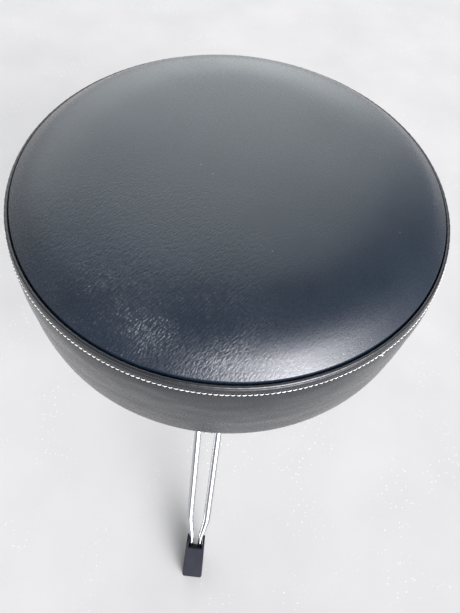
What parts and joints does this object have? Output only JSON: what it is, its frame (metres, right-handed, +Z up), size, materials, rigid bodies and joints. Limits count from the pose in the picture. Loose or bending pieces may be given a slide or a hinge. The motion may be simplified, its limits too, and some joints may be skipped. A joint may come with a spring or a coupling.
{
  "type": "pedicure stool",
  "caption": "Round black padded stool seat on a height-adjustable chrome column with a folding tripod of twin-tube legs and rubber feet.",
  "frame": {"origin": "on the floor, at the middle of the footprint's bounding box; the column stands 45.5 mm towards +Y from it", "axes": "+Z up along the column, -Y along the front leg"},
  "size_m": [0.472, 0.441, 0.522],
  "materials": {
    "black_vinyl": "semi-gloss coated vinyl with a fine pebble grain",
    "foam": "open-cell cushion foam",
    "plywood": "raw plywood",
    "black_cloth": "thin non-woven dust cover",
    "black_enamel": "satin black enamel on pressed steel",
    "black_nylon": "satin moulded nylon",
    "chrome": "bright chrome plate",
    "zinc_plate": "satin zinc plate",
    "black_rubber": "matte moulded rubber"
  },
  "bodies": {
    "base": {"base_tube": "chrome", "tube_bushing": "black_nylon", "height_clamp": "zinc_plate", "height_clamp_bolt": "zinc_plate", "leg_hub": "zinc_plate", "leg_hub_screw": "zinc_plate", "tube_end_cap": "black_nylon"},
    "height_wing_nut": {"height_wing_nut": "chrome"},
    "collar": {"strut_collar": "zinc_plate"},
    "collar_wing_bolt": {"collar_wing_bolt": "chrome"},
    "post": {"seat_post": "chrome"},
    "stop_ring": {"height_stop_ring": "zinc_plate", "height_stop_screw": "zinc_plate"},
    "seat": {"seat_top_panel": "black_vinyl", "seat_side_band": "black_vinyl", "seat_welt": "black_vinyl", "seat_foam": "foam", "seat_board": "plywood", "seat_dust_cover": "black_cloth", "seat_bracket": "black_enamel", "seat_socket_bush": "black_nylon", "board_nut_1": "zinc_plate", "board_nut_2": "zinc_plate", "board_nut_3": "zinc_plate", "board_nut_4": "zinc_plate", "bracket_bolt_1": "zinc_plate", "bracket_bolt_2": "zinc_plate", "bracket_bolt_3": "zinc_plate", "bracket_bolt_4": "zinc_plate"},
    "seat_wing_bolt": {"seat_wing_bolt": "chrome"},
    "leg_1": {"leg_1_left_rail": "chrome", "leg_1_right_rail": "chrome", "leg_1_pivot_rivet": "chrome", "leg_1_strut_rivet_left": "chrome", "leg_1_strut_rivet_right": "chrome", "leg_1_end_rivet": "chrome", "leg_1_foot": "black_rubber"},
    "strut_1": {"strut_1": "chrome", "strut_1_rivet": "zinc_plate", "strut_1_top_pin": "zinc_plate"},
    "leg_2": {"leg_2_left_rail": "chrome", "leg_2_right_rail": "chrome", "leg_2_pivot_rivet": "chrome", "leg_2_strut_rivet_left": "chrome", "leg_2_strut_rivet_right": "chrome", "leg_2_end_rivet": "chrome", "leg_2_foot": "black_rubber"},
    "strut_2": {"strut_2": "chrome", "strut_2_rivet": "zinc_plate", "strut_2_top_pin": "zinc_plate"},
    "leg_3": {"leg_3_left_rail": "chrome", "leg_3_right_rail": "chrome", "leg_3_pivot_rivet": "chrome", "leg_3_strut_rivet_left": "chrome", "leg_3_strut_rivet_right": "chrome", "leg_3_end_rivet": "chrome", "leg_3_foot": "black_rubber"},
    "strut_3": {"strut_3": "chrome", "strut_3_rivet": "zinc_plate", "strut_3_top_pin": "zinc_plate"}
  },
  "joints": [
    {"name": "collar_slide", "type": "slide", "parent": "base", "child": "collar", "axis": [0, 0, -1], "range_m": [0, 0.06117]},
    {"name": "seat_height", "type": "slide", "parent": "base", "child": "post", "axis": [0, 0, 1], "range_m": [0, 0.12]},
    {"name": "stop_ring_height", "type": "slide", "parent": "post", "child": "stop_ring", "axis": [0, 0, 1], "range_m": [0, 0.08]},
    {"name": "seat_swivel", "type": "hinge", "parent": "post", "child": "seat", "pos_m": [0, 0.0455, 0.4], "axis": [0, 0, 1], "continuous": true},
    {"name": "seat_wing_bolt_turn", "type": "hinge", "parent": "seat", "child": "seat_wing_bolt", "pos_m": [0.03, 0.0455, 0.3837], "axis": [1, 0, 0], "range_deg": [0, 360]},
    {"name": "collar_wing_bolt_turn", "type": "hinge", "parent": "collar", "child": "collar_wing_bolt", "pos_m": [0, 0.0755, 0.0942], "axis": [0, 1, 0], "range_deg": [0, 360]},
    {"name": "height_wing_nut_turn", "type": "hinge", "parent": "base", "child": "height_wing_nut", "pos_m": [0.02, 0.0815, 0.253], "axis": [1, 0, 0], "range_deg": [0, 360]},
    {"name": "leg_1_hinge", "type": "hinge", "parent": "base", "child": "leg_1", "pos_m": [0, 0.0175, 0.22], "axis": [1, 0, 0], "range_deg": [0, 42]},
    {"name": "strut_1_hinge", "type": "hinge", "parent": "collar", "child": "strut_1", "pos_m": [0, 0.0175, 0.0942], "axis": [-1, 0, 0], "range_deg": [0, 42]},
    {"name": "leg_2_hinge", "type": "hinge", "parent": "base", "child": "leg_2", "pos_m": [0.02425, 0.0595, 0.22], "axis": [-0.5, 0.866, 0], "range_deg": [0, 42]},
    {"name": "strut_2_hinge", "type": "hinge", "parent": "collar", "child": "strut_2", "pos_m": [0.02425, 0.0595, 0.0942], "axis": [0.5, -0.866, 0], "range_deg": [0, 42]},
    {"name": "leg_3_hinge", "type": "hinge", "parent": "base", "child": "leg_3", "pos_m": [-0.02425, 0.0595, 0.22], "axis": [-0.5, -0.866, 0], "range_deg": [0, 42]},
    {"name": "strut_3_hinge", "type": "hinge", "parent": "collar", "child": "strut_3", "pos_m": [-0.02425, 0.0595, 0.0942], "axis": [0.5, 0.866, 0], "range_deg": [0, 42]}
  ],
  "couplings": [
    {"joint": "leg_1_hinge", "follows": "collar_slide", "rad_per_m": 11.982},
    {"joint": "strut_1_hinge", "follows": "collar_slide", "rad_per_m": 11.982},
    {"joint": "leg_2_hinge", "follows": "collar_slide", "rad_per_m": 11.982},
    {"joint": "strut_2_hinge", "follows": "collar_slide", "rad_per_m": 11.982},
    {"joint": "leg_3_hinge", "follows": "collar_slide", "rad_per_m": 11.982},
    {"joint": "strut_3_hinge", "follows": "collar_slide", "rad_per_m": 11.982}
  ]
}
